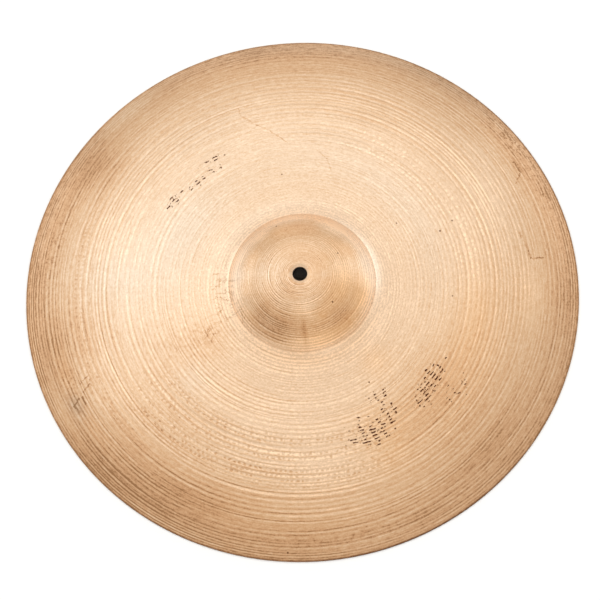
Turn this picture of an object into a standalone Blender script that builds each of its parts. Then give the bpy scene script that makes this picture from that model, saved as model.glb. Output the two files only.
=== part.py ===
"""An 18 inch crash cymbal: one thin sheet of cast bronze with a bell, a bow and a plain centre hole.

Units are metres, +Z is up. The origin is the centre of the rim plane, the cymbal stands on its rim
with the bell up, and the whole body is turned about the Z axis.
"""

import math

import bmesh
import bpy
import numpy as np

# Plan: radii measured from the axis.
RIM_RADIUS = 0.2286
BELL_RADIUS = 0.060
SEAT_RADIUS = 0.010
HOLE_RADIUS = 0.006

# Section: heights of the underside above the rim plane.
BOW_CONE = 0.0060
BOW_ROLL = 0.0135
ROLL_POWER = 6.0
FLARE_HEIGHT = 0.0040
FLARE_REACH = 0.008
BELL_HEIGHT = 0.0210
BELL_POWER = 2.9

# Wall thickness, square to the surface. It stays the same over the bell and thins out to the rim.
BELL_WALL = 0.0015
RIM_WALL = 0.0008
RIM_LAND = 0.0005

# Resolution of the turned body.
SEGMENTS = 72
BELL_RINGS = 9
BOW_RINGS = 15
RIM_ARC_STEPS = 4

SLOPE_STEP = 1e-6
LAND_RADIUS = RIM_RADIUS - RIM_WALL / 2 - RIM_LAND


def clear_scene():
    """Remove every object that the scene starts with."""
    for thing in list(bpy.data.objects):
        bpy.data.objects.remove(thing, do_unlink=True)


def bow_share(radius):
    """How far a radius lies from the foot of the bell (0) to the inside of the rim's flat land (1)."""
    return min(max((radius - BELL_RADIUS) / (LAND_RADIUS - BELL_RADIUS), 0.0), 1.0)


def bow_height(radius):
    """Underside of the bow: a shallow cone that rolls down to the rim, with a small flare up to the bell."""
    share = bow_share(radius)
    flare = (1.0 - share) * math.exp(-(radius - BELL_RADIUS) / FLARE_REACH)
    return BOW_CONE * (1.0 - share) + BOW_ROLL * (1.0 - share**ROLL_POWER) + FLARE_HEIGHT * flare


def bell_height(radius):
    """Underside of the bell: a dome with a flat seat round the hole."""
    share = max((radius - SEAT_RADIUS) / (BELL_RADIUS - SEAT_RADIUS), 0.0)
    return bow_height(BELL_RADIUS) + BELL_HEIGHT * (1.0 - share**BELL_POWER)


def under_height(radius):
    """Height of the underside at any radius."""
    if radius < BELL_RADIUS:
        return bell_height(radius)
    return bow_height(radius)


def wall(radius):
    """Thickness square to the surface."""
    return BELL_WALL + (RIM_WALL - BELL_WALL) * bow_share(radius)


def top_height(radius):
    """Height of the playing surface: the underside plus the wall, measured upright on the slope."""
    inner = max(radius - SLOPE_STEP, HOLE_RADIUS)
    outer = min(radius + SLOPE_STEP, LAND_RADIUS)
    slope = (under_height(outer) - under_height(inner)) / (outer - inner)
    return under_height(radius) + wall(radius) * math.hypot(1.0, slope)


def ring_radii():
    """Radii of the rings from the hole to the rim's land, closer together at both edges of the bow."""
    bell = np.linspace(SEAT_RADIUS, BELL_RADIUS, BELL_RINGS + 1)
    bow = 0.5 - 0.5 * np.cos(math.pi * np.linspace(0.0, 1.0, BOW_RINGS + 1)[1:])
    return [HOLE_RADIUS, *bell, *(BELL_RADIUS + (LAND_RADIUS - BELL_RADIUS) * bow)]


def rim_arc():
    """The half-round edge, from the playing surface round to the underside."""
    nose = RIM_WALL / 2
    turns = np.linspace(math.pi / 2, -math.pi / 2, RIM_ARC_STEPS + 1)
    return [(RIM_RADIUS - nose + nose * math.cos(a), nose + nose * math.sin(a)) for a in turns]


def section():
    """The closed outline of the wall as (radius, height) points, out along the top and back below."""
    radii = ring_radii()
    top = [(r, top_height(r)) for r in radii]
    under = [(r, under_height(r)) for r in reversed(radii)]
    return top + rim_arc() + under


def turned_mesh(name, outline):
    """Turn a closed outline a full circle about the Z axis."""
    mesh = bpy.data.meshes.new(name)
    body = bmesh.new()
    corners = [body.verts.new((radius, 0.0, height)) for radius, height in outline]
    edges = [body.edges.new((a, b)) for a, b in zip(corners, corners[1:] + corners[:1])]
    bmesh.ops.spin(
        body,
        geom=corners + edges,
        axis=(0.0, 0.0, 1.0),
        cent=(0.0, 0.0, 0.0),
        angle=2.0 * math.pi,
        steps=SEGMENTS,
        use_merge=True,
    )
    bmesh.ops.recalc_face_normals(body, faces=body.faces)
    body.to_mesh(mesh)
    body.free()
    mesh.shade_smooth()
    mesh.set_sharp_from_angle(angle=math.radians(35.0))
    return mesh


def bronze():
    """Lathed bell bronze with a satin surface."""
    material = bpy.data.materials.new("bronze")
    material.use_nodes = True
    shader = material.node_tree.nodes["Principled BSDF"]
    shader.inputs["Base Color"].default_value = (0.78, 0.53, 0.31, 1.0)
    shader.inputs["Metallic"].default_value = 1.0
    shader.inputs["Roughness"].default_value = 0.38
    return material


def main():
    clear_scene()
    cymbal = bpy.data.objects.new("cymbal", turned_mesh("cymbal", section()))
    cymbal.data.materials.append(bronze())
    bpy.context.scene.collection.objects.link(cymbal)


main()
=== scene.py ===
"""Looks of the crash cymbal: its lathed and hammered bronze sheet, a pale floor, soft lights and a camera.

Units are metres, +Z is up, and the origin is the centre of the rim plane. Angles round the axis are in
degrees, counted from +X towards +Y. Wear marks and material nodes use millimetres from the axis.
"""

import math

import bpy
import numpy as np
from mathutils import Matrix, Vector


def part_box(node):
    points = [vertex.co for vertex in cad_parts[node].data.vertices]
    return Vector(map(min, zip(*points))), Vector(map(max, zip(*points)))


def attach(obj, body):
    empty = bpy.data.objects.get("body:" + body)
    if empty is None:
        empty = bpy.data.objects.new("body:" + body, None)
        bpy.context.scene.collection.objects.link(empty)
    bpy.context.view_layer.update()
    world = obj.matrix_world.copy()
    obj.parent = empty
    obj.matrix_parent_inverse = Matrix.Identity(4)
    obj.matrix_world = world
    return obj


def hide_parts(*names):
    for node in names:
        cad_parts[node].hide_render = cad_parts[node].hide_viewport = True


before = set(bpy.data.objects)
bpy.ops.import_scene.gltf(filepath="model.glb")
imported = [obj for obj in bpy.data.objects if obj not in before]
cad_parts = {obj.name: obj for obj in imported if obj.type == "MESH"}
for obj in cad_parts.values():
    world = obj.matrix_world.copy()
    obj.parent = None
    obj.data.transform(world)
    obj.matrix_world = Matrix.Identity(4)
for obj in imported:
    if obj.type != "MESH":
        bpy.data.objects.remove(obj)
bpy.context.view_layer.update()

TURN = 2.0 * math.pi
MILLIMETRES = 1000.0
# The one seed of everything random.
SEED = 18

# Sizes of the sheet, as the CAD node has them.
RIM_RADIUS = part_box("cymbal")[1][0]
BELL_RADIUS = 0.060
SEAT_RADIUS = 0.010
HOLE_RADIUS = 0.006
BOW_CONE = 0.0060
BOW_ROLL = 0.0135
ROLL_POWER = 6.0
FLARE_HEIGHT = 0.0040
FLARE_REACH = 0.008
BELL_HEIGHT = 0.0210
BELL_POWER = 2.9
BELL_WALL = 0.0015
RIM_WALL = 0.0008
RIM_LAND = 0.0005
LAND_RADIUS = RIM_RADIUS - RIM_WALL / 2 - RIM_LAND

# Fine mesh of the sheet.
SEGMENTS = 180
RIM_ARC_STEPS = 6
HOLE_CHAMFER = 0.0003
PROFILE_SAMPLES = 6000

# Lathe cuts: (inner radius, outer radius, width of a cut, depth of a cut, rings per cut, change of tone).
TOP_ZONES = (
    (0.0100, 0.0245, 0.00125, 0.000030, 3, 0.48),
    (0.0245, 0.0280, 0.00170, 0.000080, 4, 0.66),
    (0.0280, 0.0600, 0.00165, 0.000045, 4, 0.42),
    (0.0600, 0.0920, 0.00250, 0.000050, 4, 0.22),
    (0.0920, 0.1145, 0.00290, 0.000060, 5, 0.28),
    (0.1145, 0.1370, 0.00370, 0.000085, 6, 0.26),
    (0.1370, 0.1600, 0.00380, 0.000110, 6, 0.31),
    (0.1600, 0.1800, 0.00330, 0.000110, 6, 0.38),
    (0.1800, 0.1970, 0.00360, 0.000090, 6, 0.33),
    (0.1970, 0.2125, 0.00305, 0.000080, 5, 0.34),
    (0.2125, LAND_RADIUS, 0.00240, 0.000060, 4, 0.37),
)
UNDER_ZONES = (
    (0.0100, 0.0600, 0.0045, 0.000060, 3, 0.20),
    (0.0600, LAND_RADIUS, 0.0055, 0.000110, 3, 0.30),
)
# A ring without a cut: depth, nearness to a cut's edge, number, change of tone and ticks in a turn.
PLAIN_RING = (0.0, 0.5, 0.0, 0.0, 1.0)
# Each cut's share of its zone's width and depth, the least share of a width that still makes a cut, and how
# flat the floors are.
CUT_WIDTHS = (0.76, 1.24)
CUT_DEPTHS = (0.5, 1.3)
LEAST_CUT = 0.3
FLOOR_POWER = 0.8
# How far the depth of the cuts drifts over the sheet: share, number of waves and their length.
DEPTH_DRIFT = 0.3
DRIFT_WAVES = 12
DRIFT_LENGTH = 0.09
# Shortest and longest wave of a random field, as a share of its length.
FIELD_LENGTHS = (0.7, 1.6)
# How dark the edges and how bright the floors of the cuts are, a painted shade and painted highlight of
# their relief,
# with rises and falls round the sheet: (degrees, half width in degrees, amount).
DARK_EDGES = 0.45
DARK_SIDES = (
    (235, 50, 0.50),
    (150, 35, 0.10),
    (15, 45, -0.35),
    (90, 40, -0.25),
)
BRIGHT_FLOORS = 0.30
BRIGHT_SIDES = (
    (25, 45, 0.40),
    (300, 30, 0.10),
    (95, 35, -0.15),
)
# Middle values of both patterns, and how narrow the bright line along a floor is.
EDGE_MEAN = 0.38
FLOOR_MEAN = 0.37
FLOOR_SHARPNESS = 4
# How far the edges, the floors and the whole cuts come and go round the sheet, and in how many ways.
EDGE_WAVER = 0.32
FLOOR_WAVER = 0.7
BODY_WAVER = 0.10
WAVER_HARMONICS = (0, 1, 2, 3, 4, 6, 9)
WAVER_KINDS = 96
# The cuts wander in and out by this much round the sheet: (distance from the axis, radial wander).
WANDER = (
    (0.062, 0.0),
    (0.076, 0.0012),
    (0.135, 0.0012),
    (0.160, 0.0008),
    (0.178, 0.0008),
    (0.190, 0.0016),
    (0.212, 0.0014),
    (0.221, 0.0006),
    (0.226, 0.0),
)
# The waves that they wander by: waves in a turn, radians per metre out from the axis, and the greatest sum.
WAVE_HARMONICS = (1, 2, 3)
WAVE_PACES = (8.0, 20.0)
WAVE_PEAK = 1.2
# The bell sits off the middle by this much. The shift comes in and goes out between these radii.
BELL_SHIFT = 0.0013
SHIFT_RADII = (0.030, 0.052, 0.064, 0.085)

# Hammering: shallow dents over the bow, the same on both sides of the sheet.
DENTS = 260
DENT_RADIUS = (0.008, 0.015)
DENT_DEPTH = (0.00002, 0.00007)
# How far the dents keep from the bell's foot and from the rim, and the distances that they fade in over.
DENT_MARGINS = (0.012, 0.006)
DENT_FADES = (0.010, 0.012)

# Tarnish of the playing side, with painted light and shade in it: lighter at the bell's foot, a painted
# light where the lamps reach less, and darker towards the rim, partly painted shade: (millimetres from the
# axis, share), and the share on the underside.
TARNISH_AND_PAINTED_LIGHT = (
    (6, 0.34),
    (10, 0.44),
    (12, 0.56),
    (16, 0.57),
    (25, 0.49),
    (46, 0.48),
    (50, 0.38),
    (54, 0.18),
    (60, 0.10),
    (71, 0.19),
    (85, 0.32),
    (140, 0.35),
    (167, 0.42),
    (190, 0.46),
    (205, 0.57),
    (226, 0.73),
    (228, 0.95),
)
UNDER_TARNISH = 0.50
# Worn and tarnished places, together with painted light and shade: some lighter or darker places stand in
# for the light and shade that fall there, such as round the hole's seat and in the broad highlight near 160
# degrees: (degrees, millimetres from the axis, half width in degrees, half depth in millimetres, darker
# by).
WEAR_AND_PAINTED_LIGHT = (
    (4, 35, 17, 8, -0.30),
    (172, 40, 8, 8, -0.12),
    (85, 45, 32, 10, 0.14),
    (95, 55, 55, 5, -0.14),
    (145, 18, 25, 6, -0.10),
    (232, 16, 20, 8, 0.10),
    (272, 28, 12, 6, -0.15),
    (235, 49, 24, 12, 0.42),
    (310, 51, 20, 10, 0.32),
    (268, 47, 2, 11, 0.34),
    (235, 55, 26, 4, 0.22),
    (262, 61, 12, 4, 0.14),
    (318, 61, 14, 5, 0.04),
    (52, 54, 14, 6, -0.18),
    (160, 56, 24, 5, -0.10),
    (200, 62, 14, 4, -0.18),
    (206, 98, 11, 30, 0.14),
    (158, 135, 18, 32, -0.10),
    (277, 130, 22, 45, -0.07),
    (310, 142, 24, 24, 0.26),
    (312, 186, 14, 22, 0.13),
    (234, 196, 15, 17, 0.18),
    (225, 145, 14, 16, 0.08),
    (24, 178, 18, 22, -0.17),
    (142, 204, 7, 14, 0.20),
    (165, 222, 26, 7, 0.20),
    (187, 198, 8, 16, 0.20),
    (203, 207, 3, 6, 0.22),
    (228, 206, 20, 16, 0.12),
    (85, 220, 24, 8, 0.13),
    (127, 220, 8, 8, -0.28),
    (202, 217, 6, 10, -0.14),
    (218, 218, 10, 12, 0.10),
    (7, 223, 12, 5, 0.12),
    (352, 221, 8, 6, 0.12),
    (22, 47, 8, 6, 0.12),
    (52, 42, 12, 10, -0.12),
    (37, 33, 14, 6, -0.10),
    (272, 33, 14, 6, -0.10),
    (345, 36, 16, 8, -0.14),
    (345, 56, 40, 6, -0.08),
    (230, 61, 40, 4, -0.10),
    (158, 222, 12, 5, -0.10),
    (262, 206, 10, 8, 0.07),
    (232, 218, 6, 5, 0.10),
    (130, 100, 85, 25, 0.05),
    (195, 70, 28, 8, 0.08),
    (217, 38, 8, 8, 0.10),
    (247, 41, 8, 6, 0.08),
    (232, 47, 7, 5, -0.12),
    (127, 49, 9, 7, -0.15),
    (52, 53, 12, 5, -0.12),
    (332, 49, 12, 6, -0.12),
    (277, 33, 8, 5, -0.08),
    (85, 61, 24, 3, 0.10),
    (12, 214, 12, 6, -0.12),
    (277, 222, 8, 5, -0.10),
    (292, 217, 7, 4, 0.12),
    (172, 217, 8, 4, 0.08),
    (352, 192, 8, 10, -0.12),
    (270, 160, 12, 12, -0.10),
    (217, 187, 8, 7, 0.10),
    (88, 197, 16, 14, 0.06),
    (142, 188, 8, 8, 0.12),
    (205, 48, 8, 8, -0.12),
    (282, 155, 20, 20, -0.10),
    (246, 190, 12, 12, 0.10),
    (312, 204, 16, 8, 0.10),
    (152, 207, 12, 6, 0.12),
    (20, 216, 20, 8, 0.08),
    (67, 222, 7, 5, -0.10),
    (97, 222, 8, 5, 0.08),
    (142, 223, 7, 4, -0.07),
    (202, 223, 6, 4, -0.10),
    (232, 223, 7, 3, -0.10),
    (232, 60, 8, 4, -0.10),
    (262, 54, 20, 4, -0.09),
    (217, 53, 6, 4, 0.10),
    (325, 71, 14, 6, -0.09),
    (58, 50, 14, 5, -0.08),
    (133, 52, 12, 5, -0.09),
    (187, 176, 7, 12, 0.08),
    (217, 167, 8, 6, 0.07),
    (354, 188, 8, 14, -0.08),
    (210, 86, 12, 10, 0.07),
    (52, 211, 7, 4, -0.09),
    (90, 211, 14, 4, 0.06),
    (195, 37, 14, 5, -0.05),
    (110, 33, 60, 4, -0.04),
    (345, 34, 60, 4, -0.06),
    (228, 9, 36, 2, -0.26),
    (180, 8, 60, 2, -0.10),
    (60, 8, 50, 2, -0.10),
    (285, 25, 12, 5, -0.07),
    (262, 47, 5, 5, 0.08),
    (322, 47, 10, 5, -0.09),
    (60, 46, 10, 5, -0.08),
    (127, 46, 7, 5, -0.06),
    (340, 88, 14, 14, -0.05),
)
# Places where the tarnish is golden (above 0) or pale (below 0), partly the metal's own hue and partly
# painted highlight that whitens it where the lights' highlights fall: the same five numbers.
GOLDEN_AND_HIGHLIGHT = (
    (318, 35, 50, 9, 1.00),
    (310, 52, 50, 7, 0.90),
    (90, 38, 60, 9, 0.45),
    (90, 56, 40, 4, -0.25),
    (225, 38, 50, 10, 0.40),
    (275, 66, 50, 10, 0.45),
    (158, 57, 35, 6, -0.80),
    (172, 45, 16, 9, -0.20),
    (12, 60, 40, 6, -1.10),
    (172, 18, 60, 9, -0.40),
    (172, 140, 30, 60, -0.65),
    (85, 115, 60, 42, -0.45),
    (325, 150, 30, 35, 0.50),
    (262, 195, 40, 30, 0.50),
    (82, 221, 35, 8, -0.50),
    (203, 207, 3, 6, -1.50),
    (275, 46, 18, 8, 0.50),
    (340, 40, 22, 10, 0.50),
    (145, 105, 24, 24, -0.75),
    (25, 112, 40, 16, -0.40),
    (8, 52, 14, 9, -0.75),
    (172, 29, 24, 8, -0.60),
    (50, 224, 55, 4, -0.60),
    (292, 155, 8, 20, 0.45),
    (200, 206, 14, 6, 0.45),
    (210, 53, 12, 4, 0.60),
    (73, 54, 13, 4, 0.55),
    (35, 37, 25, 8, 0.25),
    (300, 71, 60, 5, -0.15),
    (120, 71, 50, 6, -0.25),
    (290, 55, 50, 5, 0.40),
    (340, 25, 30, 7, 0.45),
    (172, 50, 7, 6, -0.45),
    (172, 160, 8, 35, -0.40),
    (157, 222, 22, 5, -0.40),
    (205, 220, 8, 5, 0.35),
    (352, 190, 10, 14, 0.45),
    (345, 148, 14, 14, 0.40),
    (115, 165, 24, 24, -0.30),
    (217, 118, 8, 14, -0.40),
    (307, 88, 8, 14, 0.50),
    (30, 25, 20, 6, 0.30),
    (45, 40, 14, 6, 0.25),
    (120, 45, 20, 7, 0.45),
    (292, 40, 8, 5, 0.40),
    (337, 50, 10, 6, 0.45),
    (262, 30, 10, 6, 0.25),
    (352, 20, 12, 6, -0.35),
    (285, 62, 14, 3, -0.35),
    (52, 61, 8, 3, -0.40),
    (355, 61, 8, 3, -0.40),
    (250, 20, 20, 6, 0.20),
    (228, 47, 12, 6, -0.25),
    (292, 130, 12, 16, 0.35),
    (50, 217, 60, 4, -0.15),
)
# Painted shade in the rim's edge, a dark line for the edge's shadowed side: the same five numbers.
RIM_EDGE_SHADE = (
    (290, 228.6, 36, 1.0, 0.85),
    (235, 228.6, 20, 0.8, 0.45),
    (30, 228.6, 25, 0.8, 0.50),
)
MOST_RIM_EDGE_SHADE = 0.9
# Mottled stains: the same five numbers.
STAINS = (
    (202, 102, 11, 25, 0.5),
    (164, 208, 10, 9, 1.0),
    (198, 200, 4, 12, 0.8),
    (28, 220, 13, 8, 1.0),
    (272, 214, 18, 8, 0.6),
    (315, 165, 26, 30, 0.25),
)
# Thin crooked scuffs: the same five numbers.
SCUFFS = (
    (186, 66, 22, 11, 0.75),
    (204, 84, 5, 8, 0.6),
)
# Length of one chatter tick and its gap along a cut.
TICK_PITCH = 0.0041
# Where the tool chattered: (from degrees, to degrees, from millimetres, to millimetres, darker by). Bright
# ticks are below 0.
CHATTER = (
    (200, 298, 126, 172, 1.0),
    (350, 434, 128, 150, -0.55),
    (350, 402, 156, 163, -0.55),
    (60, 130, 150, 158, 0.35),
    (146, 230, 172, 188, 0.6),
)
# How far the chatter takes to fade in, along the cuts in degrees and across them in millimetres.
CHATTER_END_FADE = 12.0
CHATTER_SIDE_FADE = 2.0
# The shares of it that the cuts pick from, and more cuts than one side has.
CHATTER_SHARES = (0.2, 0.6, 1.0)
MOST_CUTS = 200
# What is left of the worn ink: (degrees, millimetres from the axis, half width in degrees, half depth in
# millimetres, amount).
INK = (
    (139, 131, 5, 4, 0.95),
    (128, 127, 5, 4, 0.80),
    (119, 127, 4, 4, 0.66),
    (116, 136, 6, 3, 0.66),
    (285, 137, 6, 17, 0.72),
    (293, 142, 5, 12, 0.56),
    (297, 128, 6, 12, 0.60),
    (298, 112, 9, 5, 0.66),
    (319, 133, 9, 8, 0.82),
    (311, 140, 6, 8, 0.66),
    (319, 156, 9, 9, 0.46),
)
# Small pits: (degrees, millimetres from the axis, radius in millimetres).
PITS = (
    (313, 35.4, 1.0),
    (26, 36.0, 0.8),
    (108, 50.0, 0.8),
    (298, 101.0, 1.0),
    (17, 124.0, 1.1),
    (19, 137.0, 0.9),
    (94, 100.0, 0.8),
    (29, 95.5, 0.8),
    (350, 124.5, 0.8),
    (262, 222.0, 1.0),
)
# Scratches: (from degrees, from millimetres, to degrees, to millimetres, half width in millimetres, darker
# by).
SCRATCHES = (
    (103, 170, 103, 162, 0.7, 0.16),
    (103, 162, 99, 149, 0.8, 0.24),
    (99, 149, 96, 143, 0.8, 0.26),
    (96, 143, 90, 129, 0.9, 0.36),
    (78, 121, 74, 115, 0.8, 0.26),
    (74, 115, 71, 105, 0.8, 0.20),
    (27, 210, 24, 210, 1.3, 0.54),
    (24, 210, 22, 201, 1.0, 0.34),
    (9, 187, 4, 190, 1.9, 0.24),
    (4, 190, 2, 191, 1.3, 0.40),
    (2, 191, 2, 201, 1.1, 0.46),
    (2, 203, 5, 206, 1.0, 0.18),
    (5, 206, 6, 210, 1.0, 0.15),
    (19, 222, 16, 222, 0.8, 0.48),
    (19, 219, 17, 218, 0.7, 0.48),
    (35, 224, 32, 221, 1.0, 0.40),
    (33, 225, 31, 223, 0.8, 0.34),
    (198, 189, 199, 198, 0.8, 0.40),
    (200, 190, 201, 198, 0.8, 0.40),
    (199, 189, 201, 190, 0.8, 0.38),
    (202, 203, 203, 210, 1.0, 0.50),
    (202, 200, 204, 201, 1.2, 0.60),
    (203, 210, 205, 207, 0.8, 0.30),
    (176, 74, 176, 66, 0.9, 0.36),
    (168, 73, 166, 68, 0.9, 0.30),
    (173, 59, 175, 52, 0.8, 0.30),
    (181, 70, 182, 62, 0.8, 0.34),
    (184, 58, 191, 58, 1.0, 0.36),
    (201, 62, 202, 54, 0.8, 0.30),
    (202, 54, 211, 58, 0.9, 0.30),
    (209, 54, 211, 59, 0.8, 0.36),
)

# Camera: its height over the rim plane and its roll in degrees, its distance, its lens and sensor in
# millimetres, and how far to the right of the rim's centre and above it in the picture it aims.
CAMERA_ELEVATION = 69.65
CAMERA_ROLL = 5.5
CAMERA_DISTANCE = 9.5 * RIM_RADIUS
CAMERA_LENS = 157.5
SENSOR_WIDTH = 36.0
AIM_RIGHT = -0.0014
AIM_UP = -0.00556

# Floor and light.
FLOOR_SIZE = 14.0
FLOOR_GAP = 0.0002
FLOOR_COLOUR = (0.95, 0.95, 0.95, 1.0)
FLOOR_ROUGHNESS = 0.9
ROOM_COLOUR = (1.02, 1.0, 0.97, 1.0)
SOFTBOX_COLOUR = (0.95, 1.0, 1.06)
SOFTBOX_DISTANCE = 2.2
SOFTBOX_HEIGHT = 0.9
# (name, degrees round the axis, degrees up from the floor, width, watts)
SOFTBOXES = (
    ("overhead", 90, 62, 0.9, 2.0),
    ("overhead_left", 135, 62, 0.9, 1.5),
    ("back_low", 90, 12, 1.2, 1.4),
    ("back_right", 30, 22, 1.7, 3.6),
    ("back_left", 150, 22, 1.7, 3.4),
)

# Bronze from freshly rubbed to deeply tarnished, the scale that both tarnish and painted light and shade
# are read on: (share of tarnish, colour).
BRONZE_TONES = (
    (0.00, (0.97, 0.69, 0.46)),
    (0.20, (0.77, 0.555, 0.380)),
    (0.35, (0.70, 0.495, 0.325)),
    (0.50, (0.655, 0.435, 0.265)),
    (0.65, (0.60, 0.37, 0.21)),
    (0.80, (0.53, 0.305, 0.165)),
    (1.00, (0.32, 0.17, 0.08)),
)
# How golden tarnish changes red, green and blue; below 0 it is the paleness of painted highlight.
GOLDEN_AND_HIGHLIGHT_SHIFT = (0.03, -0.07, -0.20)
# Colour of the old ink and of the painted shade in the rim's edge, and of the middle of a pit.
INK_COLOUR = (0.070, 0.016, 0.004, 1.0)
PIT_COLOUR = (0.12, 0.045, 0.015, 1.0)

# Noise in the metal: (scale per millimetre, detail, roughness), or (scale per millimetre, detail).
CLOUDS = (0.016, 3.0)
MOTTLE = (0.30, 4.0, 0.65)
SPECKLE = (0.75, 1.0)
# Noise drawn out along the cuts: (scale round the sheet, scale per millimetre outwards, lane).
LONG_STREAKS = (14.0, 1.0)
SHORT_STREAKS = (38.0, 1.4)
FINE_STREAKS = (20.0, 2.2, 50.0)
# How much darker each of them makes the metal.
CLOUD_TARNISH = 0.12
MOTTLE_TARNISH = 0.16
SPECKLE_TARNISH = 0.40
LONG_STREAK_TARNISH = 0.34
SHORT_STREAK_TARNISH = 0.68
# Relief of the streaks in millimetres, for the bump.
SHORT_STREAK_RELIEF = 0.020
FINE_STREAK_RELIEF = 0.016
# Satin finish: the roughness, what each pattern adds to it, and the stretch of the lights across the cuts.
ROUGHNESS = 0.36
MOTTLE_ROUGHNESS = 0.10
CREST_ROUGHNESS = -0.06
CLOUD_ROUGHNESS = 0.08
ANISOTROPY = 0.6
ACROSS_THE_CUTS = 0.25

# Below, edges are two values of a pattern: where a mark starts and where it is full.
# Chatter ticks: how many ticks each cut's row lags behind that of the cut inside it, and the edges of a
# tick along its cut and across it.
TICK_LAG = 0.62
TICK_EDGES = (0.06, 0.40)
TICK_SIDE_EDGES = (0.75, 0.15)
# Streaks that leave some of the ticks out.
TICK_SCATTER = (30.0, 0.40, 9.0)
SCATTER_EDGES = (-0.14, 0.14)
# How dark a tick is, and its relief in millimetres.
TICK_TARNISH = 0.44
TICK_RELIEF = -0.03
# A slow drift along the cuts that keeps the ticks and the ink from an even beat, in ticks.
DRIFT_STREAKS = (18.0, 0.30, 30.0)
DRIFT_TICKS = 1.4
# Stains, and scuffs with the gaps in them.
STAIN_EDGES = (-0.05, 0.22)
STAIN_TARNISH = 0.34
SCUFF_LINES = (0.16, 2.0)
SCUFF_EDGES = (0.050, 0.012)
SCUFF_GAPS = (0.14, 1.0)
SCUFF_GAP_EDGES = (-0.05, 0.05)
SCUFF_TARNISH = 0.72
# Scratches: how far they are pushed aside in millimetres, the noise that does it, the gaps in them, and the
# share of the half width that is fully dark.
WIGGLE = (2.8, 2.8, 0.0)
WIGGLE_SCALE = 0.35
SCRATCH_GAPS = (0.5, 1.0)
SCRATCH_GAP_EDGES = (-0.22, 0.0)
SCRATCH_CORE = 0.3
# Pits: the share of the radius that is fully dark, and the most that a pit covers.
PIT_CORE = 0.45
MOST_PIT = 0.85
# Old ink: strokes in a turn, rows in a millimetre, and how far both are thrown off.
INK_COLUMNS = 100.0
INK_ROWS = 0.37
COLUMN_DRIFT = 0.50
ROW_DRIFT = 0.35
INK_JITTER = (0.30, 1.0)
ROW_JITTER = 0.6
# Edges of a stroke, of a patch, and of the places in it where the strokes run together.
STROKE_EDGES = (0.26, 0.33)
PATCH_EDGES = (0.50, 0.60)
SOLID_EDGES = (0.98, 1.08)
# How ragged a patch is, and its flecks.
RAGGED = (0.26, 1.0)
RAGGED_SHARE = 1.5
FLECK_EDGES = (0.15, 0.20)
FLECK_COVER = 0.9


# ---------------------------------------------------------------- the sheet's section


def bow_share(radius):
    """How far a radius lies from the foot of the bell (0) to the inside of the rim's flat land (1)."""
    return np.clip((radius - BELL_RADIUS) / (LAND_RADIUS - BELL_RADIUS), 0.0, 1.0)


def bow_height(radius):
    """Underside of the bow: a shallow cone that rolls down to the rim and flares up to the bell."""
    share = bow_share(radius)
    flare = (1.0 - share) * np.exp(-(radius - BELL_RADIUS) / FLARE_REACH)
    return BOW_CONE * (1.0 - share) + BOW_ROLL * (1.0 - share**ROLL_POWER) + FLARE_HEIGHT * flare


def under_height(radius):
    """Underside of the whole sheet."""
    share = np.clip((radius - SEAT_RADIUS) / (BELL_RADIUS - SEAT_RADIUS), 0.0, 1.0)
    foot = bow_height(np.full_like(radius, BELL_RADIUS))
    bell = foot + BELL_HEIGHT * (1.0 - share**BELL_POWER)
    return np.where(radius < BELL_RADIUS, bell, bow_height(np.maximum(radius, BELL_RADIUS)))


def top_height(radius):
    """Playing side: the underside plus the wall, measured upright on the slope."""
    fine = np.linspace(HOLE_RADIUS, LAND_RADIUS, PROFILE_SAMPLES)
    under = under_height(fine)
    slope = np.gradient(under, fine)
    wall = BELL_WALL + (RIM_WALL - BELL_WALL) * bow_share(fine)
    return np.interp(radius, fine, under + wall * np.hypot(1.0, slope))


# ---------------------------------------------------------------- lathe cuts, hammering and wear


def lathe_cuts(zones, rng):
    """Rings across the lathe cuts, one row each.

    A row holds radius, depth, nearness to the cut's edge, the cut's number, its change of tone and its
    chatter ticks in a turn.
    """
    rows = []
    number = 0
    for inner, outer, width, deepest, rings, contrast in zones:
        at = inner
        while at < outer - LEAST_CUT * width:
            step = min(width * rng.uniform(*CUT_WIDTHS), outer - at)
            cut = deepest * rng.uniform(*CUT_DEPTHS)
            beats = round(TURN * at / TICK_PITCH)
            for ring in range(rings):
                hollow = math.sin(math.pi * ring / rings)
                depth = cut * hollow**FLOOR_POWER
                rows.append((at + step * ring / rings, depth, 1.0 - hollow, number, contrast, beats))
            at += step
            number += 1
    return np.array(rows)


def soft_field(x, y, rng, waves, length):
    """A smooth random field with features about one length across, between about -1 and 1."""
    total = np.zeros_like(x)
    for _ in range(waves):
        turn = rng.uniform(0.0, TURN)
        pace = TURN / (length * rng.uniform(*FIELD_LENGTHS))
        total += np.sin(pace * (x * math.cos(turn) + y * math.sin(turn)) + rng.uniform(0.0, TURN))
    return total / math.sqrt(waves / 2.0)


def hammering(x, y, rng):
    """Height of the hammer dents at each point, fading out at the bell's foot and at the rim."""
    height = np.zeros_like(x)
    radius = np.hypot(x, y)
    inner, outer = BELL_RADIUS + DENT_MARGINS[0], LAND_RADIUS - DENT_MARGINS[1]
    for _ in range(DENTS):
        away = math.sqrt(rng.uniform(inner**2, outer**2))
        turn = rng.uniform(0.0, TURN)
        size = rng.uniform(*DENT_RADIUS)
        near = ((x - away * math.cos(turn)) ** 2 + (y - away * math.sin(turn)) ** 2) / size**2
        height -= rng.uniform(*DENT_DEPTH) * np.exp(-near)
    from_bell = np.clip((radius - BELL_RADIUS) / DENT_FADES[0], 0.0, 1.0)
    from_rim = np.clip((LAND_RADIUS - radius) / DENT_FADES[1], 0.0, 1.0)
    return height * (from_bell * from_rim)


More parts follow.
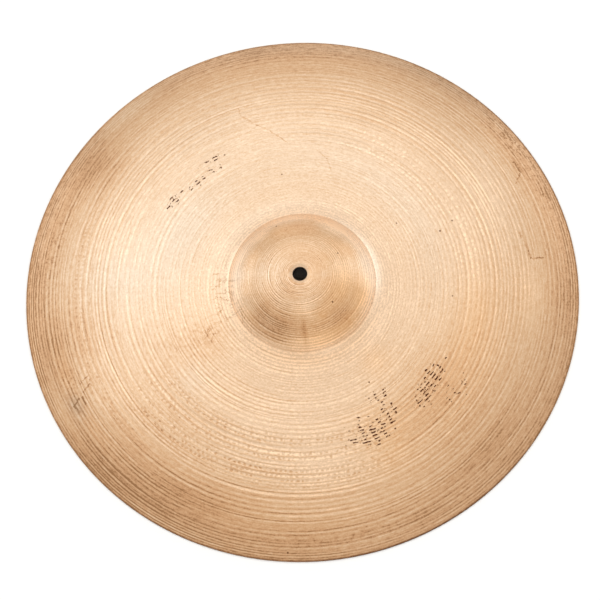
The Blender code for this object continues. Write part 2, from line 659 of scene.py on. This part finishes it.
def slow_wave(radius, turn, rng):
    """A slow smooth wave round the sheet that also changes from the bell to the rim, about -1 to 1."""
    total = np.zeros(np.broadcast(radius, turn).shape)
    for harmonic in WAVE_HARMONICS:
        phase = rng.uniform(0.0, TURN)
        pace = rng.uniform(*WAVE_PACES)
        total += np.sin(harmonic * turn + phase + pace * radius) / harmonic
    return total / WAVE_PEAK


def turned_by(degrees, other):
    """Signed angle from one bearing to another, in degrees, the short way round."""
    return (degrees - other + 180.0) % 360.0 - 180.0


def blots(marks, degrees, millimetres):
    """Sum of soft round-edged marks at each point."""
    total = np.zeros(np.broadcast(degrees, millimetres).shape)
    for bearing, away, wide, deep, amount in marks:
        near = (turned_by(degrees, bearing) / wide) ** 2 + ((millimetres - away) / deep) ** 2
        total += amount * np.exp(-near)
    return total


def chatter(degrees, millimetres):
    """How strongly the tool chattered at each point: dark ticks above 0, bright ones below."""
    total = np.zeros(np.broadcast(degrees, millimetres).shape)
    for start, end, inner, outer, amount in CHATTER:
        half = (end - start) / 2.0
        along = np.clip((half - np.abs(turned_by(degrees, start + half))) / CHATTER_END_FADE, 0.0, 1.0)
        rise = np.clip((millimetres - inner) / CHATTER_SIDE_FADE, 0.0, 1.0)
        fall = np.clip((outer - millimetres) / CHATTER_SIDE_FADE, 0.0, 1.0)
        total += amount * along * (rise * fall)
    return total


def waver(number, degrees, rng):
    """How each cut comes and goes round the sheet, about -1 to 1. A small part stays all the way round."""
    phase = rng.uniform(0.0, TURN, (WAVER_KINDS, len(WAVER_HARMONICS)))
    pick = number.astype(int) % WAVER_KINDS
    total = np.zeros(np.broadcast(number, degrees).shape)
    for column, harmonic in enumerate(WAVER_HARMONICS):
        total += np.sin(harmonic * np.radians(degrees) + phase[pick, column])
    return total / math.sqrt(len(WAVER_HARMONICS) / 2.0)


def around(level, sides, degrees):
    """A level round the sheet with soft rises and falls: (bearing, half width in degrees, amount)."""
    total = np.full(degrees.shape, level)
    for bearing, wide, amount in sides:
        total += amount * np.exp(-((turned_by(degrees, bearing) / wide) ** 2))
    return total


def cut_tone(crest, number, contrast, degrees, rng):
    """How much darker each point is for its place in its cut: painted shade by the edges and painted
    highlight along the floor, and a change of tone of the whole cut.
    """
    change = 1.0 + EDGE_WAVER * waver(number, degrees, rng) / DARK_EDGES
    edge = around(DARK_EDGES, DARK_SIDES, degrees) * change * (crest - EDGE_MEAN)
    strength = np.clip(1.0 + FLOOR_WAVER * waver(number, degrees, rng), 0.0, 2.0)
    shine = around(BRIGHT_FLOORS, BRIGHT_SIDES, degrees) * strength
    floor = shine * ((1.0 - crest) ** FLOOR_SHARPNESS - FLOOR_MEAN)
    body = BODY_WAVER * waver(number, degrees, rng) * (1.0 - crest)
    return contrast * (edge - floor + body)


# ---------------------------------------------------------------- the sheet's mesh


def sheet_rings(rng):
    """The closed outline of the wall, out along the top and back below.

    Each row holds radius, height, side (1 above, 0 below), depth of the cut, nearness to its edge, its
    number, its change of tone and its chatter ticks in a turn.
    """
    top = lathe_cuts(TOP_ZONES, rng)
    under = lathe_cuts(UNDER_ZONES, rng)[::-1]
    seat_top = top_height(np.array([HOLE_RADIUS]))[0]
    seat_under = under_height(np.array([HOLE_RADIUS]))[0]
    rows = [(HOLE_RADIUS, seat_top - HOLE_CHAMFER, 1.0) + PLAIN_RING]
    rows.append((HOLE_RADIUS + HOLE_CHAMFER, seat_top, 1.0) + PLAIN_RING)
    for height, cut in zip(top_height(top[:, 0]), top):
        rows.append((cut[0], height, 1.0, *cut[1:]))
    nose = RIM_WALL / 2
    for turn in np.linspace(math.pi / 2, -math.pi / 2, RIM_ARC_STEPS + 1):
        place = (RIM_RADIUS - nose + nose * math.cos(turn), nose + nose * math.sin(turn))
        rows.append(place + (float(turn > 0.0),) + PLAIN_RING)
    for height, cut in zip(under_height(under[:, 0]), under):
        rows.append((cut[0], height, 0.0, -cut[1], *cut[2:]))
    rows.append((HOLE_RADIUS + HOLE_CHAMFER, seat_under, 0.0) + PLAIN_RING)
    rows.append((HOLE_RADIUS, seat_under + HOLE_CHAMFER, 0.0) + PLAIN_RING)
    return np.array(rows)


def sheet():
    """The whole sheet as one closed mesh, with its lathe cuts and hammering as real shape.

    Point attributes carry what the materials need: crest, cut_number, beats, tone (tarnish with painted
    light and shade in it), golden_and_highlight, rim_edge_shade (painted shade), stain, scuff, chatter and
    ink.
    """
    rng = np.random.default_rng(SEED)
    rings = sheet_rings(rng)
    parts = (rings[:, [i]] for i in range(rings.shape[1]))
    radius, height, side, cut, crest, number, contrast, beats = parts
    turn = np.linspace(0.0, TURN, SEGMENTS, endpoint=False)[None, :]
    shift = BELL_SHIFT * np.interp(radius, SHIFT_RADII, (0.0, 1.0, 1.0, 0.0))
    wander = np.interp(radius, *zip(*WANDER)) * slow_wave(radius, turn, rng)
    x = (radius + wander) * np.cos(turn) + shift
    y = (radius + wander) * np.sin(turn)
    drift = 1.0 + DEPTH_DRIFT * soft_field(x, y, rng, DRIFT_WAVES, DRIFT_LENGTH)
    z = height - cut * drift + hammering(x, y, rng)

    degrees = np.degrees(turn)
    away = radius * MILLIMETRES
    # Tarnish with painted light and shade: the profile out from the axis and the patches.
    above = np.interp(away, *zip(*TARNISH_AND_PAINTED_LIGHT)) + blots(WEAR_AND_PAINTED_LIGHT, degrees, away)
    shade = np.where(side > 0.5, above, UNDER_TARNISH) + cut_tone(crest, number, contrast, degrees, rng)
    rows_with_chatter = rng.choice(CHATTER_SHARES, MOST_CUTS)[number.astype(int)]
    ones = np.ones_like(x)
    layers = {
        "crest": crest * ones,
        "cut_number": number * ones,
        "beats": beats * ones,
        # Tarnish with painted light and shade in it, and the painted shade and highlight of the cuts'
        # relief.
        "tone": shade * ones,
        # Golden tarnish, and below 0 pale painted highlight.
        "golden_and_highlight": blots(GOLDEN_AND_HIGHLIGHT, degrees, away) * side,
        # Painted shade along the rim's edge.
        "rim_edge_shade": np.minimum(blots(RIM_EDGE_SHADE, degrees, away), MOST_RIM_EDGE_SHADE),
        "stain": blots(STAINS, degrees, away) * side,
        "scuff": blots(SCUFFS, degrees, away) * side,
        "chatter": chatter(degrees, away) * rows_with_chatter * side,
        "ink": blots(INK, degrees, away) * side,
    }

    rows, columns = x.shape
    points = np.stack([x, y, z], axis=-1).reshape(-1, 3)
    here = np.arange(rows)[:, None] * columns + np.arange(columns)[None, :]
    beside = np.roll(here, -1, axis=1)
    faces = np.stack([here, np.roll(here, -1, axis=0), np.roll(beside, -1, axis=0), beside], axis=-1)
    mesh = bpy.data.meshes.new("cymbal_sheet")
    mesh.from_pydata(points.tolist(), [], faces.reshape(-1, 4).tolist())
    for name, values in layers.items():
        attribute = mesh.attributes.new(name, "FLOAT", "POINT")
        attribute.data.foreach_set("value", values.ravel().astype(np.float32))
    mesh.shade_smooth()
    piece = bpy.data.objects.new("cymbal_sheet", mesh)
    bpy.context.scene.collection.objects.link(piece)
    mesh.materials.append(bronze("bronze_top", worn=True))
    mesh.materials.append(bronze("bronze_under", worn=False))
    below = np.repeat(side.ravel() < 0.5, columns).astype(np.int32)
    mesh.polygons.foreach_set("material_index", below)
    return piece


# ---------------------------------------------------------------- material nodes


class Nodes:
    """Short calls that add nodes to a material. A value is a number or another node's output."""

    def __init__(self, material):
        material.use_nodes = True
        self.tree = material.node_tree
        self.shader = self.tree.nodes["Principled BSDF"]

    def put(self, socket, value):
        if isinstance(value, bpy.types.NodeSocket):
            self.tree.links.new(value, socket)
        else:
            socket.default_value = value

    def add(self, kind, values=(), output=0, **settings):
        node = self.tree.nodes.new("ShaderNode" + kind)
        for name, setting in settings.items():
            setattr(node, name, setting)
        for name, value in dict(values).items():
            self.put(node.inputs[name], value)
        return node.outputs[output]

    def math(self, operation, first, second=0.0, clamp=False):
        return self.add("Math", {0: first, 1: second}, operation=operation, use_clamp=clamp)

    def vector_math(self, operation, first, second, output=0):
        return self.add("VectorMath", {0: first, 1: second}, output=output, operation=operation)

    def scaled(self, vector, share):
        return self.add("VectorMath", {0: vector, "Scale": share}, operation="SCALE")

    def total(self, *values):
        result = values[0]
        for value in values[1:]:
            result = self.math("ADD", result, value)
        return result

    def times(self, *values):
        result = values[0]
        for value in values[1:]:
            result = self.math("MULTIPLY", result, value)
        return result

    def step(self, value, low, high):
        """0 from the low value back, 1 from the high one on, and a smooth change between them.

        The low value may be the greater number of the two.
        """
        values = {"Value": value, "From Min": low, "From Max": high}
        return self.add("MapRange", values, interpolation_type="SMOOTHSTEP")

    def fold(self, value):
        """From 0 to a half and back again, once for every whole number."""
        return self.math("PINGPONG", value, 0.5)

    def vector(self, x, y, z):
        return self.add("CombineXYZ", {0: x, 1: y, 2: z})

    def noise(self, vector, scale, detail=2.0, roughness=0.5):
        """Soft noise centred on 0, about -0.5 to 0.5."""
        values = {"Vector": vector, "Scale": scale, "Detail": detail, "Roughness": roughness}
        return self.math("SUBTRACT", self.add("TexNoise", values), 0.5)

    def attribute(self, name):
        return self.add("Attribute", attribute_name=name, output=2)

    def mix(self, share, first, second):
        return self.add("Mix", {0: share, 6: first, 7: second}, output=2, data_type="RGBA")


def flat_point(degrees, away):
    """A place on the sheet seen from above, in millimetres."""
    turn = math.radians(degrees)
    return (away * math.cos(turn), away * math.sin(turn), 0.0)


class Polar:
    """Where a shaded point lies: its distance from the axis in millimetres and its bearing."""

    def __init__(self, nodes):
        self.nodes = nodes
        self.place = nodes.scaled(nodes.add("TexCoord", output=3), MILLIMETRES)
        self.flat = nodes.vector_math("MULTIPLY", self.place, (1.0, 1.0, 0.0))
        self.away = nodes.add("VectorMath", {0: self.flat}, output=1, operation="LENGTH")
        self.bearing = nodes.add("VectorMath", {0: self.flat}, operation="NORMALIZE")
        x = nodes.add("SeparateXYZ", {0: self.place})
        y = x.node.outputs[1]
        self.turns = nodes.math("DIVIDE", nodes.math("ARCTAN2", y, x), TURN)

    def streaks(self, round_scale, out_scale, lane=0.0):
        """Noise drawn out along the lathe cuts. Each lane is another pattern."""
        nodes = self.nodes
        ring = nodes.scaled(self.bearing, round_scale)
        lift = nodes.vector(0.0, 0.0, nodes.total(nodes.times(self.away, out_scale), lane))
        return nodes.noise(nodes.vector_math("ADD", ring, lift), 1.0)

    def shaken(self):
        """The place seen from above, pushed aside a little so that a straight line comes out crooked."""
        nodes = self.nodes
        values = {"Vector": self.place, "Scale": WIGGLE_SCALE, "Detail": 2.0}
        wiggle = nodes.add("TexNoise", values, output=1)
        aside = nodes.vector_math("SUBTRACT", wiggle, (0.5, 0.5, 0.5))
        return nodes.vector_math("ADD", self.flat, nodes.vector_math("MULTIPLY", aside, WIGGLE))

    def scratches(self):
        """All the scratches, as how much darker they are."""
        nodes = self.nodes
        here = self.shaken()
        total = 0.0
        for *ends, wide, amount in SCRATCHES:
            start, end = Vector(flat_point(*ends[:2])), Vector(flat_point(*ends[2:]))
            reach = end - start
            offset = nodes.vector_math("SUBTRACT", here, start)
            along = nodes.vector_math("DOT_PRODUCT", offset, reach / reach.length_squared, output=1)
            nearest = nodes.scaled(reach, nodes.math("ADD", along, 0.0, clamp=True))
            away = nodes.vector_math("DISTANCE", offset, nearest, output=1)
            total = nodes.total(total, nodes.times(nodes.step(away, wide, SCRATCH_CORE * wide), amount))
        return nodes.times(total, nodes.step(nodes.noise(self.place, *SCRATCH_GAPS), *SCRATCH_GAP_EDGES))

    def pits(self):
        """All the small pits, 1 in their middles."""
        nodes = self.nodes
        total = 0.0
        for degrees, away, size in PITS:
            distance = nodes.vector_math("DISTANCE", self.flat, flat_point(degrees, away), output=1)
            total = nodes.total(nodes.step(distance, size, PIT_CORE * size), total)
        return nodes.math("MINIMUM", total, MOST_PIT)


def chatter_ticks(nodes, polar, crest, drift):
    """Short ticks in a row along the floors of the cuts where the tool chattered."""
    beat_turns = nodes.times(polar.turns, nodes.attribute("beats"))
    lag = nodes.times(nodes.attribute("cut_number"), TICK_LAG)
    place_in_tick = nodes.fold(nodes.total(beat_turns, lag, drift))
    tick = nodes.times(nodes.step(place_in_tick, *TICK_EDGES), nodes.step(crest, *TICK_SIDE_EDGES))
    scatter = nodes.step(polar.streaks(*TICK_SCATTER), *SCATTER_EDGES)
    return nodes.times(nodes.attribute("chatter"), tick, scatter)


def stains(nodes, mottle):
    """Mottled stains, as how much darker they are."""
    return nodes.times(nodes.attribute("stain"), nodes.step(mottle, *STAIN_EDGES), STAIN_TARNISH)


def scuffs(nodes, polar):
    """Thin crooked scuffs, as how much darker they are."""
    crooked = nodes.step(nodes.math("ABSOLUTE", nodes.noise(polar.place, *SCUFF_LINES)), *SCUFF_EDGES)
    broken = nodes.step(nodes.noise(polar.place, *SCUFF_GAPS), *SCUFF_GAP_EDGES)
    return nodes.times(nodes.attribute("scuff"), crooked, broken, SCUFF_TARNISH)


def old_ink(nodes, polar, drift):
    """What is left of worn ink: short strokes in rows along the cuts, with random flecks between them."""
    jitter = nodes.noise(polar.place, *INK_JITTER)
    column_place = nodes.total(
        nodes.times(polar.turns, INK_COLUMNS),
        nodes.times(drift, COLUMN_DRIFT),
        jitter,
    )
    column = nodes.step(nodes.fold(column_place), *STROKE_EDGES)
    row_place = nodes.total(
        nodes.times(polar.away, INK_ROWS),
        nodes.times(drift, ROW_DRIFT),
        nodes.times(jitter, ROW_JITTER),
    )
    row = nodes.step(nodes.fold(row_place), *STROKE_EDGES)
    ragged = nodes.times(nodes.noise(polar.place, *RAGGED), RAGGED_SHARE)
    patch = nodes.total(nodes.attribute("ink"), ragged)
    flecks = nodes.step(nodes.noise(polar.place, *SPECKLE), *FLECK_EDGES)
    strokes = nodes.times(nodes.math("MAXIMUM", column, nodes.step(patch, *SOLID_EDGES)), row)
    marks = nodes.math("MAXIMUM", strokes, nodes.times(flecks, FLECK_COVER))
    return nodes.times(nodes.step(patch, *PATCH_EDGES), marks)


def bronze_colour(nodes, tarnish_and_painted_light):
    """Colour of the metal for its tarnish and painted light and shade, for how golden or highlight-pale
    that is, and for the painted shade in the rim's edge.
    """
    tones = nodes.tree.nodes.new("ShaderNodeValToRGB")
    nodes.put(tones.inputs[0], tarnish_and_painted_light)
    stops = tones.color_ramp.elements
    while len(stops) < len(BRONZE_TONES):
        stops.new(0.5)
    for stop, (share, tone) in zip(stops, BRONZE_TONES):
        stop.position = share
        stop.color = tone + (1.0,)
    # Golden tarnish above 0; pale painted highlight below 0.
    golden_and_highlight = nodes.attribute("golden_and_highlight")
    shift = [nodes.total(1.0, nodes.times(golden_and_highlight, share)) for share in GOLDEN_AND_HIGHLIGHT_SHIFT]
    colour = nodes.vector_math("MULTIPLY", tones.outputs[0], nodes.vector(*shift))
    # Painted shade: the rim's edge is darkened towards the ink's colour.
    return nodes.mix(nodes.attribute("rim_edge_shade"), colour, INK_COLOUR)


def bronze(name, worn):
    """Lathed bronze. The playing side is worn: chatter marks, scratches, stains, pits and old ink."""
    material = bpy.data.materials.new(name)
    nodes = Nodes(material)
    polar = Polar(nodes)
    shader = nodes.shader.inputs
    crest = nodes.attribute("crest")
    clouds = nodes.noise(polar.place, *CLOUDS)
    mottle = nodes.noise(polar.place, *MOTTLE)
    short_streaks = polar.streaks(*SHORT_STREAKS)
    # Tarnish, with the painted light and shade that the tone attribute carries.
    tarnish_and_painted_light = nodes.total(
        nodes.attribute("tone"),
        nodes.times(clouds, CLOUD_TARNISH),
        nodes.times(mottle, MOTTLE_TARNISH),
        nodes.times(nodes.noise(polar.place, *SPECKLE), SPECKLE_TARNISH),
        nodes.times(polar.streaks(*LONG_STREAKS), LONG_STREAK_TARNISH),
        nodes.times(short_streaks, SHORT_STREAK_TARNISH),
    )
    relief = nodes.total(
        nodes.times(short_streaks, SHORT_STREAK_RELIEF),
        nodes.times(polar.streaks(*FINE_STREAKS), FINE_STREAK_RELIEF),
    )

    if worn:
        drift = nodes.times(polar.streaks(*DRIFT_STREAKS), DRIFT_TICKS)
        ticks = chatter_ticks(nodes, polar, crest, drift)
        tarnish_and_painted_light = nodes.total(
            tarnish_and_painted_light,
            stains(nodes, mottle),
            scuffs(nodes, polar),
            nodes.times(ticks, TICK_TARNISH),
            polar.scratches(),
        )
        relief = nodes.total(relief, nodes.times(ticks, TICK_RELIEF))
        colour = nodes.mix(polar.pits(), bronze_colour(nodes, tarnish_and_painted_light), PIT_COLOUR)
        colour = nodes.mix(old_ink(nodes, polar, drift), colour, INK_COLOUR)
    else:
        colour = bronze_colour(nodes, tarnish_and_painted_light)

    nodes.put(shader["Base Color"], colour)
    roughness = nodes.total(
        ROUGHNESS,
        nodes.times(mottle, MOTTLE_ROUGHNESS),
        nodes.times(crest, CREST_ROUGHNESS),
        nodes.times(clouds, CLOUD_ROUGHNESS),
    )
    nodes.put(shader["Roughness"], roughness)
    shader["Metallic"].default_value = 1.0
    shader["Anisotropic"].default_value = ANISOTROPY
    shader["Anisotropic Rotation"].default_value = ACROSS_THE_CUTS
    nodes.put(shader["Tangent"], nodes.add("Tangent", direction_type="RADIAL", axis="Z"))
    bump = {"Height": nodes.times(relief, 1.0 / MILLIMETRES), "Distance": 1.0, "Strength": 1.0}
    nodes.put(shader["Normal"], nodes.add("Bump", bump))
    return material


# ---------------------------------------------------------------- camera, floor and lights


def camera():
    """A long lens that looks down on the cymbal from the front."""
    data = bpy.data.cameras.new("camera")
    data.lens = CAMERA_LENS
    data.sensor_width = SENSOR_WIDTH
    thing = bpy.data.objects.new("camera", data)
    bpy.context.scene.collection.objects.link(thing)
    tilt = math.radians(CAMERA_ELEVATION)
    back = Vector((0.0, -math.cos(tilt), math.sin(tilt)))
    level = back.to_track_quat("Z", "Y").to_matrix()
    turned = level @ Matrix.Rotation(math.radians(-CAMERA_ROLL), 3, "Z")
    place = back * CAMERA_DISTANCE
    aim = turned.col[0] * AIM_RIGHT + turned.col[1] * AIM_UP
    swing = back.rotation_difference((place - aim).normalized()).to_matrix()
    thing.matrix_world = Matrix.Translation(place) @ (swing @ turned).to_4x4()
    bpy.context.scene.camera = thing


def floor():
    """A plain pale floor just under the rim plane."""
    bpy.ops.mesh.primitive_plane_add(size=FLOOR_SIZE, location=(0.0, 0.0, -FLOOR_GAP))
    plane = bpy.context.object
    plane.name = "floor"
    material = bpy.data.materials.new("floor")
    material.use_nodes = True
    shader = material.node_tree.nodes["Principled BSDF"]
    shader.inputs["Base Color"].default_value = FLOOR_COLOUR
    shader.inputs["Roughness"].default_value = FLOOR_ROUGHNESS
    shader.inputs["Specular IOR Level"].default_value = 0.0
    plane.data.materials.append(material)


def softbox(name, azimuth, elevation, width, watts):
    """A soft light on a dome round the cymbal, facing its middle."""
    data = bpy.data.lights.new(name, "AREA")
    data.shape = "RECTANGLE"
    data.size = width
    data.size_y = SOFTBOX_HEIGHT
    data.energy = watts
    data.color = SOFTBOX_COLOUR
    light = bpy.data.objects.new(name, data)
    turn, rise = math.radians(azimuth), math.radians(elevation)
    direction = Vector((math.cos(rise) * math.cos(turn), math.cos(rise) * math.sin(turn), math.sin(rise)))
    light.location = direction * SOFTBOX_DISTANCE
    light.rotation_euler = direction.to_track_quat("Z", "Y").to_euler()
    bpy.context.scene.collection.objects.link(light)


def lights():
    """Soft studio light: a pale room and softboxes round the cymbal."""
    world = bpy.data.worlds.new("world")
    world.use_nodes = True
    world.node_tree.nodes["Background"].inputs["Color"].default_value = ROOM_COLOUR
    world.node_tree.nodes["Background"].inputs["Strength"].default_value = 1.0
    bpy.context.scene.world = world
    for softbox_row in SOFTBOXES:
        softbox(*softbox_row)


camera()
floor()
lights()
cymbal = sheet()
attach(cymbal, "root")
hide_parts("cymbal")
bpy.context.scene.view_settings.view_transform = "Standard"
